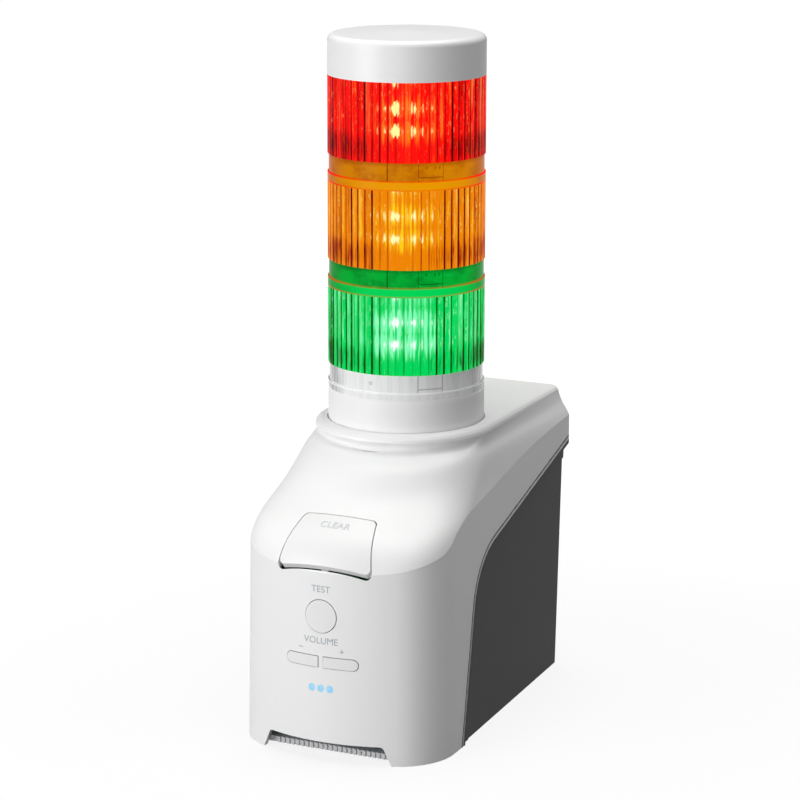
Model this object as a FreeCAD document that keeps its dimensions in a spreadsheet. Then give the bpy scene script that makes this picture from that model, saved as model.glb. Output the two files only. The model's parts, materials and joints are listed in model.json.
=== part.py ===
import FreeCAD, Part
import Sketcher
import math
import os
import re

# Desktop stack light: a three-tier lamp tower on a wedge-nosed control housing.
# Millimetres. +Z is up, the controls face -Y, the tower's axis is x = y = 0 and the base stands on z = 0.

V = FreeCAD.Vector
doc = FreeCAD.newDocument("StackLight")

SIZES = {
    # lamp tower
    "tower_radius": 30.0, "neck_radius": 29.5, "globe_bore": 27.4, "spigot_radius": 27.1,
    "spigot_bore": 25.0, "spigot_height": 4.0, "skirt_height": 29.75, "band_height": 3.4,
    "neck_height": 7.0, "flute_depth": 0.45, "flute_count": 60.0, "cap_height": 16.45,
    "cap_crown": 1.3, "cap_round": 2.6, "cap_wall": 2.4, "collar_height": 11.6, "collar_floor": 2.5,
    "collar_bore": 26.5, "cable_radius": 5.0, "seat_depth": 3.0, "seat_gap": 0.45,
    "mast_width": 36.0, "mast_thickness": 1.6, "mast_foot": 2.0, "socket_half": 21.0, "socket_depth": 7.0,
    "lamp_size": 3.5, "lamp_height": 1.2, "lamp_spacing": 6.2, "lamp_drop": 9.5, "lamp_pitch": 9.0,
    # housing
    "plateau_height": 117.0, "front_reach": 73.5, "rear_reach": 73.5, "half_width": 41.8,
    "rear_half_width": 38.4, "corner_radius": 23.0, "front_bulge": 4.3, "draft": 0.0113, "wall": 2.5,
    "ridge_height": 2.8, "ridge_inset": 3.4, "crown_radius": 33.0, "crown_bore": 25.5, "crown_depth": 7.0,
    "shell_base_rear": 33.5, "shell_top_rear": 36.1, "shell_base_front": 41.6, "shell_top_front": 41.1,
    "split_base": 37.5, "split_lean": 0.22, "split_height": 76.3, "split_slope": 0.28, "split_radius": 30.0,
    "rim_width": 3.0, "band_width": 9.0, "band_step": 0.4, "joint_gap": 0.25, "lip_depth": 4.0,
    "lip_wall": 1.6, "slot_half_width": 26.8, "slot_height": 7.5, "slot_taper": 3.3, "post_radius": 4.5,
    "post_x": 35.0, "post_y": 50.0, "post_top": 60.0, "rear_post_x": 28.5, "rear_post_y": 62.0,
    "rear_post_top": 50.0, "hole_play": 0.05, "free_play": 0.15, "base_lift": 1.2,
    "base_thickness": 2.2, "base_gap": 0.4, "base_recess": 9.0, "rib_pitch": 2.0, "rib_half_width": 0.5,
    "rib_count": 23.0, "boss_radius": 4.5, "standoff_radius": 2.8, "standoff_x": 19.0,
    "standoff_front": 18.0, "standoff_rear": 47.5,
    # controls on the nose
    "clear_top_half": 14.5, "clear_base_half": 19.1, "clear_top": 24.1, "clear_base": 2.4,
    "clear_corner": 2.0, "clear_gap": 0.5, "clear_base_gap": 1.6, "skin": 2.0, "pivot_y": 51.6,
    "pivot_z": 84.8, "lug_inset": 4.0, "lug_width": 3.0, "lug_reach": 7.0, "clear_switch": 74.0,
    "pin_radius": 1.2, "pin_half_length": 17.6, "ear_thickness": 2.2, "pin_play": 0.05,
    "test_height": 56.2, "test_radius": 6.25, "volume_height": 38.6, "volume_half_length": 14.7,
    "volume_half_gap": 1.15, "key_half_height": 2.05, "key_gap": 0.3, "key_rise": 0.25, "flange_reach": 68.0,
    "flange_thickness": 1.2, "flange_width": 1.5, "key_end": 65.5, "status_height": 28.4,
    "status_radius": 1.45, "status_pitch": 3.7, "guide_bar": 1.5, "board_front": 60.0,
    "board_thickness": 1.6, "switch_size": 6.0, "switch_body": 3.6, "switch_plunger": 1.0,
    # electronics and rear connectors
    "key_board_half_width": 24.0, "key_board_low": 22.0, "key_board_high": 78.0, "board_lift": 9.0,
    "board_post_x": 20.5, "board_post_z": 48.0, "board_post_radius": 3.0, "board_screw_length": 6.0,
    "main_half_width": 23.5, "main_front": 12.0, "main_rear": 70.6, "jack_width": 16.0,
    "jack_height": 13.4, "jack_depth": 21.0, "jack_x": 4.5, "port_width": 11.8, "port_height": 8.2,
    "port_depth": 14.0, "inlet_width": 9.4, "inlet_height": 11.0, "inlet_depth": 14.0, "inlet_x": 18.3,
    "inlet_radius": 3.2, "inlet_pin": 1.0, "terminal_width": 18.0, "terminal_height": 10.4,
    "terminal_depth": 12.0, "terminal_x": -13.5, "terminal_ways": 6.0, "window_gap": 0.25,
    "speaker_radius": 20.0, "speaker_height": 62.0, "basket_depth": 9.0, "magnet_radius": 11.0,
    "magnet_depth": 6.0, "grille_pitch": 4.6, "grille_slot": 2.0, "screw_radius": 1.45,
    "screw_head": 2.9, "head_height": 1.1, "recess_radius": 0.9, "recess_depth": 0.6,
    "screw_length": 9.0, "foot_radius": 6.0, "foot_x": 26.0, "foot_y": 28.0, "rear_foot_x": 21.5,
    "rear_foot_y": 52.0, "insert_radius": 2.6, "insert_bore": 1.7, "insert_height": 5.0,
    "insert_x": 18.0, "insert_y": 40.0,
}

sheet = doc.addObject("Spreadsheet::Sheet", "Sizes")
for row, (alias, number) in enumerate(SIZES.items(), start=1):
    sheet.set("A%d" % row, alias)
    sheet.set("B%d" % row, str(number))
    sheet.setAlias("B%d" % row, alias)
doc.recompute()


def size(alias):
    return float(sheet.get(alias))


def bind(text):
    """An expression whose plain words are cells of the sheet."""
    return re.sub(r"[a-z][a-z_]+", lambda word: "Sizes." + word.group(), str(text))


# ---------------------------------------------------------------- ways of making a piece

def new_body(name):
    body = doc.addObject("PartDesign::Body", name)
    body.Label = name
    return body


def origin_item(body, role):
    return next(item for item in body.Origin.OriginFeatures if item.Role == role)


def new_sketch(body, name, role, lift="0"):
    """A sketch parallel to one of the body's origin planes, moved along its normal by lift."""
    sketch = body.newObject("Sketcher::SketchObject", name)
    sketch.AttachmentSupport = [(origin_item(body, role), "")]
    sketch.MapMode = "FlatFace"
    sketch.setExpression(".AttachmentOffset.Base.z", bind(lift))
    return sketch


def place_point(sketch, geometry, point, across, up):
    for kind, text in (("DistanceX", across), ("DistanceY", up)):
        index = sketch.addConstraint(Sketcher.Constraint(kind, -1, 1, geometry, point, 1.0))
        sketch.setExpression("Constraints[%d]" % index, bind(text))


def add_polygon(sketch, corners):
    count = len(corners)
    first = len(sketch.Geometry)
    ring = [V(math.cos(2 * math.pi * i / count), math.sin(2 * math.pi * i / count), 0) for i in range(count)]
    for i in range(count):
        sketch.addGeometry(Part.LineSegment(ring[i], ring[(i + 1) % count]), False)
    for i in range(count):
        following = first + (i + 1) % count
        sketch.addConstraint(Sketcher.Constraint("Coincident", first + i, 2, following, 1))
    for i, (across, up) in enumerate(corners):
        place_point(sketch, first + i, 1, across, up)


def add_rectangle(sketch, left, bottom, right, top):
    add_polygon(sketch, [(left, bottom), (right, bottom), (right, top), (left, top)])


def add_circle(sketch, across, up, radius):
    index = sketch.addGeometry(Part.Circle(V(0, 0, 0), V(0, 0, 1), 1.0), False)
    place_point(sketch, index, 3, across, up)
    bound = sketch.addConstraint(Sketcher.Constraint("Radius", index, 1.0))
    sketch.setExpression("Constraints[%d]" % bound, bind(radius))


def add_feature(body, kind, profile, name, length=None):
    feature = body.newObject("PartDesign::" + kind, name)
    feature.Profile = profile
    if kind in ("Revolution", "Groove"):
        feature.ReferenceAxis = (origin_item(body, "Z_Axis"), [""])
        feature.Angle = 360.0
    else:
        feature.setExpression("Length", bind(length))
    profile.Visibility = False
    return feature


def turned_body(name, corners):
    """A body of revolution about the tower's axis from its half section (radius, height)."""
    body = new_body(name)
    section = new_sketch(body, name + "_section", "XZ_Plane")
    add_polygon(section, corners)
    add_feature(body, "Revolution", section, name + "_turned")
    return body


def part_piece(kind, name, place=("0", "0", "0"), **sizes):
    """A Part primitive whose sizes and place are bound to the sheet."""
    piece = doc.addObject("Part::" + kind, name)
    for key, text in sizes.items():
        piece.setExpression(key, bind(text))
    for axis, text in zip("xyz", place):
        piece.setExpression(".Placement.Base." + axis, bind(text))
    return piece


def box_piece(name, low, high):
    """A Part box from its low corner to its high corner."""
    spans = ["(%s) - (%s)" % pair for pair in zip(high, low)]
    return part_piece("Box", name, low, Length=spans[0], Width=spans[1], Height=spans[2])


def cut_piece(name, base, tools):
    """The base piece with each tool taken out of it in turn."""
    for index, tool in enumerate(tools):
        step = doc.addObject("Part::Cut", name + "_cut%d" % index)
        step.Base = base
        step.Tool = tool
        base = step
    base.Label = name
    return base


def group_piece(name, pieces):
    group = doc.addObject("Part::Compound", name)
    group.Label = name
    group.Links = pieces
    return group


def shaped_piece(name, shape):
    piece = doc.addObject("Part::Feature", name)
    piece.Label = name
    piece.Shape = shape
    return piece


def block(low, high):
    return Part.makeBox(high[0] - low[0], high[1] - low[1], high[2] - low[2], V(*low))


def rod(radius, start, end):
    along = V(*end) - V(*start)
    return Part.makeCylinder(radius, along.Length, V(*start), along)


def fuse_all(shapes):
    whole = shapes[0]
    for shape in shapes[1:]:
        whole = whole.fuse(shape)
    return whole


# ---------------------------------------------------------------- form of the housing

def plan_section(z, reach, width, corner, bulge, rear_width, rear):
    """One closed plan outline at height z.

    A flat bow of radius r meets a corner arc on each side; each corner runs tangent into a straight
    flank that ends at the rear corner. The bow's radius follows from the corner arc standing back
    from the front by the bulge.
    """
    centre_x = width - corner
    depth = corner + bulge
    centre_y = depth - reach
    bow = (centre_x ** 2 + depth ** 2 - corner ** 2) / (2 * bulge)
    bow_y = bow - reach
    reach_out = math.hypot(centre_x, centre_y - bow_y)
    join = V(centre_x / reach_out * bow, bow_y + (centre_y - bow_y) / reach_out * bow, z)
    run = math.hypot(rear_width - centre_x, rear - centre_y)
    flank = math.atan2(rear - centre_y, rear_width - centre_x) - math.acos(corner / run)
    start = math.atan2(join.y - centre_y, join.x - centre_x)

    def on_corner(angle):
        return V(centre_x + corner * math.cos(angle), centre_y + corner * math.sin(angle), z)

    def mirrored(point):
        return V(-point.x, point.y, point.z)

    tangent = on_corner(flank)
    middle = on_corner((flank + start) / 2)
    rear_corner = V(rear_width, rear, z)
    nose = V(0, -reach, z)
    edges = [
        Part.LineSegment(mirrored(rear_corner), rear_corner),
        Part.LineSegment(rear_corner, tangent),
        Part.Arc(tangent, middle, join),
        Part.Arc(join, nose, mirrored(join)),
        Part.Arc(mirrored(join), mirrored(middle), mirrored(tangent)),
        Part.LineSegment(mirrored(tangent), mirrored(rear_corner)),
    ]
    return Part.Wire([edge.toShape() for edge in edges])


# The roof as shares of the driving sizes, from the ridge down to where it meets the walls:
# height, front reach, half width, corner radius, bulge, half width at the rear.
ROOF = (
    (0.976, 0.475, 0.837, 1.370, 0.721, 0.857),
    (0.915, 0.536, 0.871, 1.304, 0.791, 0.958),
    (0.829, 0.656, 0.926, 1.196, 0.884, 1.078),
    (0.769, 0.780, 0.967, 1.117, 0.930, 1.161),
    (0.727, 0.884, 0.988, 1.070, 0.977, 1.221),
    (0.680, 0.951, 0.998, 1.000, 1.000, 1.286),
    (0.645, 0.977, 1.006, 1.000, 1.000, 1.335),
    (0.585, 1.003, 1.018, 1.000, 1.000, 1.424),
)


def roof_section(share, inset, ridge_rise=0.0, ridge_inset=0.0):
    height, reach, width, corner, bulge, rear = share
    sink = inset + ridge_inset
    return plan_section(height * size("plateau_height") + ridge_rise - inset,
                        reach * size("front_reach") - sink, width * size("half_width") - sink,
                        corner * size("corner_radius") - 0.9 * sink, bulge * size("front_bulge"),
                        rear * size("rear_half_width") - sink, size("rear_reach") + 5.0)


def wall_section(z, inset):
    lean = size("draft") * z
    return plan_section(z, size("front_reach") - lean - inset, size("half_width") - lean - inset,
                        size("corner_radius") - inset, size("front_bulge"),
                        size("rear_half_width") - 0.6 * lean - inset, size("rear_reach") - inset)


def walls_form(inset):
    top = size("plateau_height") + 3
    return Part.makeLoft([wall_section(0, inset), wall_section(top, inset)], True, True)


def lower_block(inset):
    reach = 2 * size("front_reach")
    return block((-reach, -reach, 0), (reach, reach, ROOF[-1][0] * size("plateau_height") - inset))


def housing_form():
    """The whole outer form: drafted walls under a lofted roof whose ridge is rounded."""
    roof = Part.makeLoft([roof_section(share, 0.0) for share in ROOF], True, False)
    steps = 4
    ridge = []
    for i in range(steps + 1):
        angle = math.pi / 2 * i / steps
        rise = size("ridge_height") * math.sin(angle)
        ridge.append(roof_section(ROOF[0], 0.0, rise, size("ridge_inset") * (1 - math.cos(angle))))
    crown = Part.makeLoft(ridge, True, True)
    return walls_form(0.0).common(fuse_all([lower_block(0.0), roof, crown]))


def housing_cavity(inset):
    """The space inside a wall of the given thickness."""
    roof = Part.makeLoft([roof_section(share, inset) for share in ROOF], True, True)
    return walls_form(inset).common(lower_block(inset).fuse(roof))


def split_region(inward, low=-5.0):
    """Everything behind and below the line where the rear shell meets the front one.

    In side view the line leans forward up the flank, turns by a round corner and climbs to the rear.
    A positive inward moves it into the rear shell.
    """
    rise = math.atan2(1.0, size("split_lean"))
    climb = math.atan(size("split_slope"))
    base = V(0, -size("split_base"), 0) + V(0, math.sin(rise), -math.cos(rise)) * inward
    back = V(0, 0, size("split_height")) + V(0, math.sin(climb), -math.cos(climb)) * inward
    up = V(0, math.cos(rise), math.sin(rise))
    along = V(0, math.cos(climb), math.sin(climb))
    offset = back - base
    travel = (offset.y * along.z - offset.z * along.y) / (up.y * along.z - up.z * along.y)
    corner = base + up * travel
    turn = rise - climb
    radius = size("split_radius") - inward
    trim = radius * math.tan(turn / 2)
    start = corner - up * trim
    end = corner + along * trim
    bisector = along - up
    bisector.normalize()
    middle = corner + bisector * (radius / math.cos(turn / 2) - radius)
    far = 2 * size("rear_reach")
    bottom = base + up * ((low - base.z) / up.z)
    top = back + along * ((far - back.y) / along.y)
    edges = [
        Part.LineSegment(bottom, start),
        Part.Arc(start, middle, end),
        Part.LineSegment(end, top),
        Part.LineSegment(top, V(0, far, low)),
        Part.LineSegment(V(0, far, low), bottom),
    ]
    face = Part.Face(Part.Wire([edge.toShape() for edge in edges]))
    half = 2 * size("half_width")
    face.translate(V(-half, 0, 0))
    return face.extrude(V(2 * half, 0, 0))


def rear_form(inset):
    """The tapering box of the rear shell, narrower to the rear and towards the base."""
    def outline(z, front, rear):
        first = -size("front_reach") * 0.75
        last = size("rear_reach") - inset
        points = [V(-front, first, z), V(front, first, z), V(rear, last, z), V(-rear, last, z)]
        return Part.makePolygon(points + points[:1])

    base = outline(0, size("shell_base_front") - inset, size("shell_base_rear") - inset)
    top = outline(size("plateau_height"), size("shell_top_front") - inset, size("shell_top_rear") - inset)
    return Part.makeLoft([base, top], True, True)


def clear_column(grow, base_grow):
    """The CLEAR key's four-sided outline, carried square to the 45 degree plane through the nose."""
    slant = V(0, 1, 1) / math.sqrt(2)
    out = V(0, -1, 1) / math.sqrt(2)
    top = size("clear_top") + grow
    base = size("clear_base") - base_grow
    lean = (size("clear_base_half") - size("clear_top_half")) / (size("clear_top") - size("clear_base"))

    def half(place):
        return size("clear_base_half") + grow - lean * (place - size("clear_base"))

    outer = out * 115.0
    points = [outer + slant * base + V(-half(base), 0, 0), outer + slant * base + V(half(base), 0, 0),
              outer + slant * top + V(half(top), 0, 0), outer + slant * top + V(-half(top), 0, 0)]
    column = Part.Face(Part.makePolygon(points + points[:1])).extrude(out * -27.0)
    long_edges = [edge for edge in column.Edges if abs(edge.Length - 27.0) < 0.01]
    return column.makeFillet(size("clear_corner") + grow, long_edges)


def slot_form():
    """The low mouth under the nose: wider at its foot, with rounded upper corners."""
    foot = size("slot_half_width")
    head = foot - size("slot_taper")
    high = size("slot_height")
    y = -size("front_reach") - 5
    slant = size("slot_taper") / high
    points = [V(-foot - slant * 3, y, -3), V(foot + slant * 3, y, -3), V(head, y, high), V(-head, y, high)]
    prism = Part.Face(Part.makePolygon(points + points[:1])).extrude(V(0, size("corner_radius"), 0))
    upper = [edge for edge in prism.Edges
             if edge.BoundBox.ZMin > high - 0.01 and edge.BoundBox.YLength > 1.0]
    return prism.makeFillet(1.6, upper)


FORM = housing_form()
CAVITY = housing_cavity(size("wall"))
SHELL = FORM.cut(CAVITY)


# ---------------------------------------------------------------- lamp tower

def level(tiers):
    """Height of the lower edge of a skirt, counted in tiers above the clear ring."""
    first = size("plateau_height") + size("collar_height") + size("band_height") + size("neck_height")
    return first + tiers * (size("skirt_height") + size("band_height") + size("neck_height"))


def ring_profile(corners):
    """A ring turned about the tower's axis from its half section (radius, height)."""
    points = [V(radius, 0, z) for radius, z in corners]
    return Part.Face(Part.makePolygon(points + points[:1])).revolve(V(0, 0, 0), V(0, 0, 1), 360)


def fluted_skirt(base):
    """The ribbed wall of a globe: one shallow arc per rib, meeting in narrow valleys."""
    count = int(size("flute_count"))
    crest = size("tower_radius")
    valley = crest - size("flute_depth")
    step = 2 * math.pi / count

    def on_ring(radius, angle):
        return V(radius * math.cos(angle), radius * math.sin(angle), base)

    ribs = []
    for i in range(count):
        points = [on_ring(valley, i * step), on_ring(crest, (i + 0.5) * step),
                  on_ring(valley, (i + 1) * step)]
        ribs.append(Part.Arc(*points).toShape())
    core = Part.Face(Part.Wire(ribs)).extrude(V(0, 0, size("skirt_height")))
    return core.cut(Part.makeCylinder(size("globe_bore"), size("skirt_height"), V(0, 0, base)))


def coupling_profile(low):
    """Band, neck and spigot on top of a skirt, as a half section that starts at height low."""
    band = low + size("band_height")
    neck = band + size("neck_height")
    top = neck + size("spigot_height")
    return [(size("spigot_bore"), low), (size("tower_radius"), low), (size("tower_radius"), band),
            (size("neck_radius"), band), (size("neck_radius"), neck), (size("spigot_radius"), neck),
            (size("spigot_radius"), top), (size("spigot_bore"), top)]


def make_globe(name, tiers):
    base = level(tiers)
    top = base + size("skirt_height")
    return shaped_piece(name, fluted_skirt(base).fuse(ring_profile(coupling_profile(top))))


def make_top_globe(name, tiers):
    base = level(tiers)
    top = base + size("skirt_height")
    shoulder = top - size("wall")
    spigot = ring_profile([(size("spigot_bore"), shoulder), (size("globe_bore") + 0.5, shoulder),
                           (size("globe_bore") + 0.5, top), (size("spigot_radius"), top),
                           (size("spigot_radius"), top + size("spigot_height")),
                           (size("spigot_bore"), top + size("spigot_height"))])
    return shaped_piece(name, fluted_skirt(base).fuse(spigot))


def make_clear_ring():
    low = "plateau_height + collar_height"
    band = low + " + band_height"
    neck = band + " + neck_height"
    corners = [("spigot_bore", low), ("tower_radius", low), ("tower_radius", band), ("neck_radius", band),
               ("neck_radius", neck), ("spigot_radius", neck), ("spigot_radius", neck + " + spigot_height"),
               ("spigot_bore", neck + " + spigot_height")]
    return turned_body("clear_ring", corners)


def make_tower_collar():
    foot = "plateau_height - seat_depth"
    floor = foot + " + collar_floor"
    top = "plateau_height + collar_height"
    corners = [("cable_radius", foot), ("tower_radius", foot), ("tower_radius", top),
               ("collar_bore", top), ("collar_bore", floor), ("cable_radius", floor)]
    return turned_body("tower_collar", corners)


def make_head_cap():
    low = "plateau_height + collar_height + 3 * skirt_height + 3 * band_height + 3 * neck_height"
    top = low + " + cap_height"
    inner = top + " - cap_wall - cap_crown"
    corners = [("tower_radius - cap_wall", low), ("tower_radius", low),
               ("tower_radius", top + " - cap_crown"),
               ("0", top), ("0", inner), ("tower_radius - cap_wall", inner)]
    body = turned_body("head_cap", corners)
    doc.recompute()
    rim = size("plateau_height") + size("collar_height")
    rim += 3 * (size("skirt_height") + size("band_height") + size("neck_height"))
    rim += size("cap_height") - size("cap_crown")
    edge = next(i for i, item in enumerate(body.Tip.Shape.Edges, start=1)
                if abs(item.BoundBox.ZMin - rim) < 0.01 and item.BoundBox.ZLength < 0.01
                and item.BoundBox.XLength > 2 * size("tower_radius") - 1)
    turned = body.Tip
    fillet = body.newObject("PartDesign::Fillet", "head_cap_rim")
    fillet.Base = (turned, ["Edge%d" % edge])
    fillet.setExpression("Radius", bind("cap_round"))
    return body


def make_lamp_mast():
    """The upright circuit board that carries the lamps of all three tiers."""
    body = new_body("lamp_mast")
    outline = new_sketch(body, "lamp_mast_outline", "XZ_Plane", "-mast_thickness / 2")
    foot = "plateau_height - seat_depth + collar_floor + mast_foot"
    top = "plateau_height + collar_height + 3 * skirt_height + 3 * band_height + 3 * neck_height + 8"
    add_rectangle(outline, "-mast_width / 2", foot, "mast_width / 2", top)
    add_feature(body, "Pad", outline, "lamp_mast_board", "mast_thickness")
    return body


def make_mast_socket():
    """The socket on the collar's floor that the mast's board stands in."""
    foot = "plateau_height - seat_depth + collar_floor"
    base = box_piece("mast_socket_block", ("-socket_half", "-socket_depth / 2", foot),
                     ("socket_half", "socket_depth / 2", foot + " + mast_foot + 4"))
    slot = box_piece("mast_socket_slot", ("-mast_width / 2", "-mast_thickness / 2", foot + " + mast_foot"),
                     ("mast_width / 2", "mast_thickness / 2", foot + " + mast_foot + 5"))
    return cut_piece("mast_socket", base, [slot])


def make_lamps(name, tiers):
    """Two rows and two columns of lamps on each face of the mast, in one tier."""
    lamps = []
    half = size("lamp_size") / 2
    top = level(tiers) + size("skirt_height") - size("lamp_drop")
    for row in range(2):
        z = top - row * size("lamp_pitch")
        for x in (-size("lamp_spacing") / 2, size("lamp_spacing") / 2):
            near = size("mast_thickness") / 2
            far = near + size("lamp_height")
            lamps.append(block((x - half, -far, z - half), (x + half, -near, z + half)))
            lamps.append(block((x - half, near, z - half), (x + half, far, z + half)))
    return shaped_piece(name, Part.makeCompound(lamps))


# ---------------------------------------------------------------- keys on the nose

def key_tools(grow):
    """The outlines of the test key and the two volume keys as solids that run along Y."""
    far = -size("front_reach") - 5
    near = -size("board_front") - 2
    test = rod(size("test_radius") + grow, (0, far, size("test_height")), (0, near, size("test_height")))
    keys = {"test_button": test}
    high = size("key_half_height") + grow
    z = size("volume_height")
    for name, side in (("volume_down_button", -1), ("volume_up_button", 1)):
        inner = side * (size("volume_half_gap") - grow)
        end = side * (size("volume_half_length") - size("key_half_height"))
        bar = block((min(inner, end), far, z - high), (max(inner, end), near, z + high))
        keys[name] = bar.fuse(rod(high, (end, far, z), (end, near, z)))
    return keys


def key_centres():
    middle = (size("volume_half_length") + size("volume_half_gap")) / 2
    return {"test_button": (0, size("test_height")), "volume_down_button": (-middle, size("volume_height")),
            "volume_up_button": (middle, size("volume_height"))}


def make_keys():
    """Each key: a cap in its window, a flange behind the wall and a stem towards its switch."""
    proud = FORM.copy()
    proud.translate(V(0, -size("key_rise"), 0))
    back = -size("flange_reach")
    for name, tool in key_tools(0.0).items():
        x, z = key_centres()[name]
        flange_back = back + size("flange_thickness")
        cap = proud.common(tool).common(block((-50, -100, 0), (50, flange_back, 100)))
        box = tool.BoundBox
        spread = size("flange_width")
        side = min(spread, size("volume_half_gap") - 0.2)
        left = box.XMin - (side if name == "volume_up_button" else spread)
        right = box.XMax + (side if name == "volume_down_button" else spread)
        flange = block((left, back, box.ZMin - spread), (right, flange_back, box.ZMax + spread))
        stem = rod(1.6, (x, back, z), (x, -size("key_end"), z))
        shaped_piece(name, fuse_all([cap, flange, stem]))


def make_clear_button():
    """The large CLEAR key: a bent skin that follows the nose, hung on a pin behind its upper edge."""
    inner = FORM.copy()
    inner.translate(V(0, 1, -1) * size("skin"))
    skin = FORM.common(clear_column(0.0, 0.0)).cut(inner)
    y = -size("pivot_y")
    z = size("pivot_z")
    middle = size("clear_top_half") - size("lug_inset")
    half = size("lug_width") / 2
    reach = size("pin_radius") + 1.0
    lugs = []
    for side in (-1, 1):
        left = side * middle - half
        right = side * middle + half
        lug = block((left, y - size("lug_reach"), z - 2), (right, y + reach, z + reach))
        lug = lug.fuse(rod(reach, (left, y, z), (right, y, z)))
        lugs.append(lug.common(FORM))
    eye = rod(size("pin_radius") + size("pin_play"), (-20, y, z), (20, y, z))
    plunger = rod(1.8, (0, -size("front_reach") + 4, size("clear_switch")),
                  (0, -size("board_front") - size("switch_body") - size("switch_plunger") - 1.2,
                   size("clear_switch")))
    return shaped_piece("clear_button", fuse_all([skin] + lugs + [plunger.common(FORM)]).cut(eye))


def make_clear_pin():
    pin = part_piece("Cylinder", "clear_pin", ("-pin_half_length", "-pivot_y", "pivot_z"),
                     Radius="pin_radius", Height="2 * pin_half_length")
    pin.Placement.Rotation = FreeCAD.Rotation(V(0, 1, 0), 90)
    return pin


# ---------------------------------------------------------------- housing

def post_places():
    """Screw posts under the nose and behind the rear corners: (x, y, height of the post)."""
    front = [(side * size("post_x"), -size("post_y"), size("post_top")) for side in (-1, 1)]
    rear = [(side * size("rear_post_x"), size("rear_post_y"), size("rear_post_top")) for side in (-1, 1)]
    return front, rear


def post_with_hole(x, y, top):
    foot = size("base_lift") + size("base_thickness")
    post = rod(size("post_radius"), (x, y, foot), (x, y, top))
    hole = size("screw_radius") + size("hole_play")
    return post, rod(hole, (x, y, foot - 1), (x, y, foot + size("screw_length") + 3))


def board_boss_places():
    return [(side * size("board_post_x"), size("board_post_z")) for side in (-1, 1)]


def status_places():
    return [index * size("status_pitch") for index in (-1, 0, 1)]


def make_front_housing():
    """The white shell: nose, roof and tower seat, with windows for keys, lights and the low mouth."""
    added = []
    holes = []
    plateau = size("plateau_height")
    crown = rod(size("crown_radius"), (0, 0, plateau - size("crown_depth")), (0, 0, plateau))
    bore = rod(size("crown_bore"), (0, 0, plateau - size("crown_depth") - 1), (0, 0, plateau + 1))
    added.append(crown.cut(bore))
    holes.append(bore)
    seat = size("tower_radius") + size("seat_gap")
    holes.append(rod(seat, (0, 0, plateau - size("seat_depth")), (0, 0, plateau + 2)))
    for x, y, top in post_places()[0]:
        post, hole = post_with_hole(x, y, top)
        added.append(post)
        holes.append(hole)
    for x, z in board_boss_places():
        face = -size("board_front")
        added.append(rod(size("board_post_radius"), (x, -size("front_reach"), z), (x, face, z)))
        start = (x, face - size("board_screw_length"), z)
        holes.append(rod(size("screw_radius") + size("hole_play"), start, (x, face + 1, z)))
    y = -size("pivot_y")
    z = size("pivot_z")
    outer = size("pin_half_length") - 0.1
    for side in (-1, 1):
        ends = sorted((side * outer, side * (outer - size("ear_thickness"))))
        added.append(block((ends[0], y - 3, z - 3), (ends[1], y + 3, z + 12)))
    holes.append(rod(size("pin_radius") + 0.01, (-20, y, z), (20, y, z)))
    for x in status_places():
        z = size("status_height")
        holes.append(rod(size("status_radius") + 0.02, (x, -80, z), (x, -65, z)))
    holes += list(key_tools(size("key_gap")).values())
    holes.append(slot_form())
    holes.append(clear_column(size("clear_gap"), size("clear_base_gap")))
    shell = SHELL.cut(split_region(0.0))
    for piece in added:
        shell = shell.fuse(piece.common(FORM))
    for hole in holes[:-1]:
        shell = shell.cut(hole)
    window = holes[-1].common(FORM.cut(CAVITY))
    return shaped_piece("front_housing", shell.cut(window))


def rear_wall_windows():
    """Windows in the rear wall for the sockets, and the speaker's slots."""
    far = size("rear_reach") + 2
    near = size("rear_reach") - 6
    gap = size("window_gap")
    foot = size("board_lift") + size("board_thickness")
    tools = []
    for name in ("jack", "inlet", "terminal"):
        half = size(name + "_width") / 2 + gap
        x = size(name + "_x")
        top = foot + size(name + "_height") + gap
        tools.append(block((x - half, near, foot - gap), (x + half, far, top)))
    pitch = size("grille_pitch")
    half = size("grille_slot") / 2
    reach = size("speaker_radius") - 3.5
    for index in range(-3, 4):
        x = index * pitch
        high = math.sqrt(reach ** 2 - x ** 2)
        z = size("speaker_height")
        tools.append(block((x - half, near, z - high), (x + half, far, z + high)))
    return tools


def make_rear_housing():
    """The dark rear shell: tapered walls, a shallow band and a proud rim along the joint, an inner lip."""
    gap = size("joint_gap")
    inner = rear_form(size("wall"))
    region = split_region(gap, 0.0)
    shell = rear_form(size("band_step")).cut(inner).common(region)
    band = region.cut(split_region(gap + size("band_width")))
    shell = shell.fuse(rear_form(0.0).cut(inner).common(band))
    rim = region.cut(split_region(gap + size("rim_width")))
    shell = shell.fuse(SHELL.common(rim))
    seat = size("wall") + 0.05
    lip = housing_cavity(seat).cut(housing_cavity(seat + size("lip_wall")))
    lip = lip.common(split_region(-size("lip_depth"), 0.0)).cut(split_region(size("rim_width") - 0.5, -5.0))
    clear = size("base_lift") + size("base_thickness") + size("base_gap")
    lip = lip.cut(block((-60, -60, -5), (60, 90, clear)))
    shell = shell.fuse(lip)
    for x, y, top in post_places()[1]:
        post, hole = post_with_hole(x, y, top)
        shell = shell.fuse(post).cut(hole)
    for tool in rear_wall_windows():
        shell = shell.cut(tool)
    return shaped_piece("rear_housing", shell)


def standoff_places():
    across = (-size("standoff_x"), size("standoff_x"))
    return [(x, y) for x in across for y in (size("standoff_front"), size("standoff_rear"))]


def insert_places():
    x = size("insert_x")
    y = size("insert_y")
    return [(-x, -y), (-x, y), (x, -y), (x, y)]


def screw_places():
    front, rear = post_places()
    return [(x, y) for x, y, _ in front + rear]


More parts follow.
